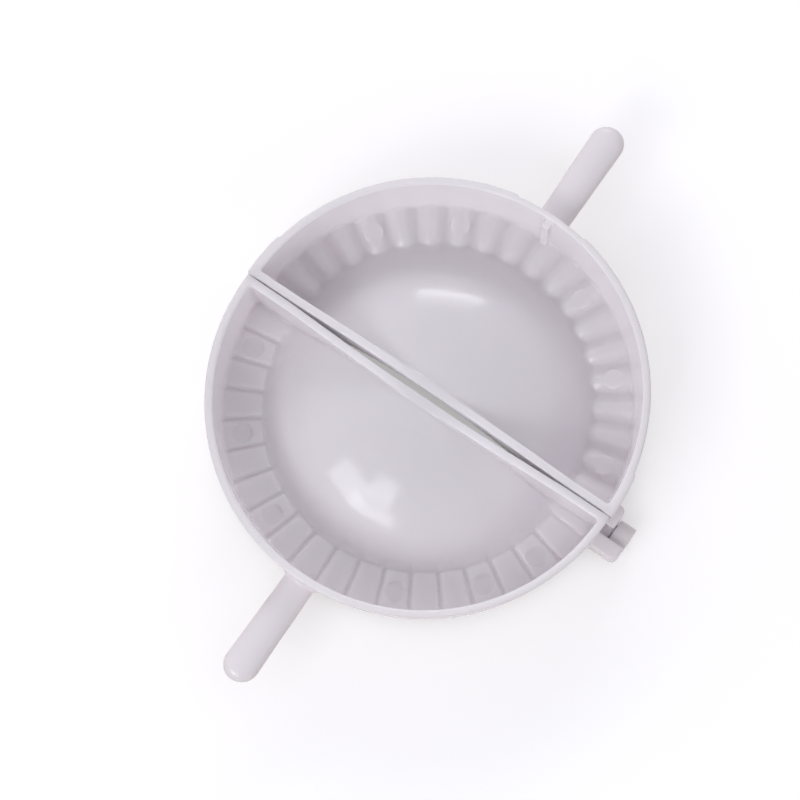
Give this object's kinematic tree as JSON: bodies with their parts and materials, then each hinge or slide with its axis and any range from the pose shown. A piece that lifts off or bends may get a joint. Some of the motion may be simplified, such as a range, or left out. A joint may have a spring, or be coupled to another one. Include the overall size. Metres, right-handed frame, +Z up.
{
  "type": "dumpling press",
  "caption": "Open hinged press for folding and crimping filled dumplings: half-dome shells in fluted rings with tall rims, a snap hinge along the diameter and bar handles.",
  "frame": {"origin": "centre of the bounding box at its foot, on the hinge line and on the plane that the hinge ears stand on. The lever handles lie 2.25 mm to its -X side, because the hinge end at +X is the wider one", "axes": "+X along the hinge, +Y along the pin half's handle, +Z up, away from the crimping faces"},
  "size_m": [0.108, 0.156, 0.0202],
  "materials": {
    "white_plastic": "glossy injection-moulded white polypropylene with a faint cool tint"
  },
  "bodies": {
    "socket_body": {"socket_half": "white_plastic"},
    "pin_body": {"pin_half": "white_plastic"}
  },
  "joints": [
    {"name": "fold", "type": "hinge", "parent": "socket_body", "child": "pin_body", "pos_m": [-0.00225, 0, 0.003], "axis": [-1, 0, 0], "range_deg": [0, 180]}
  ]
}
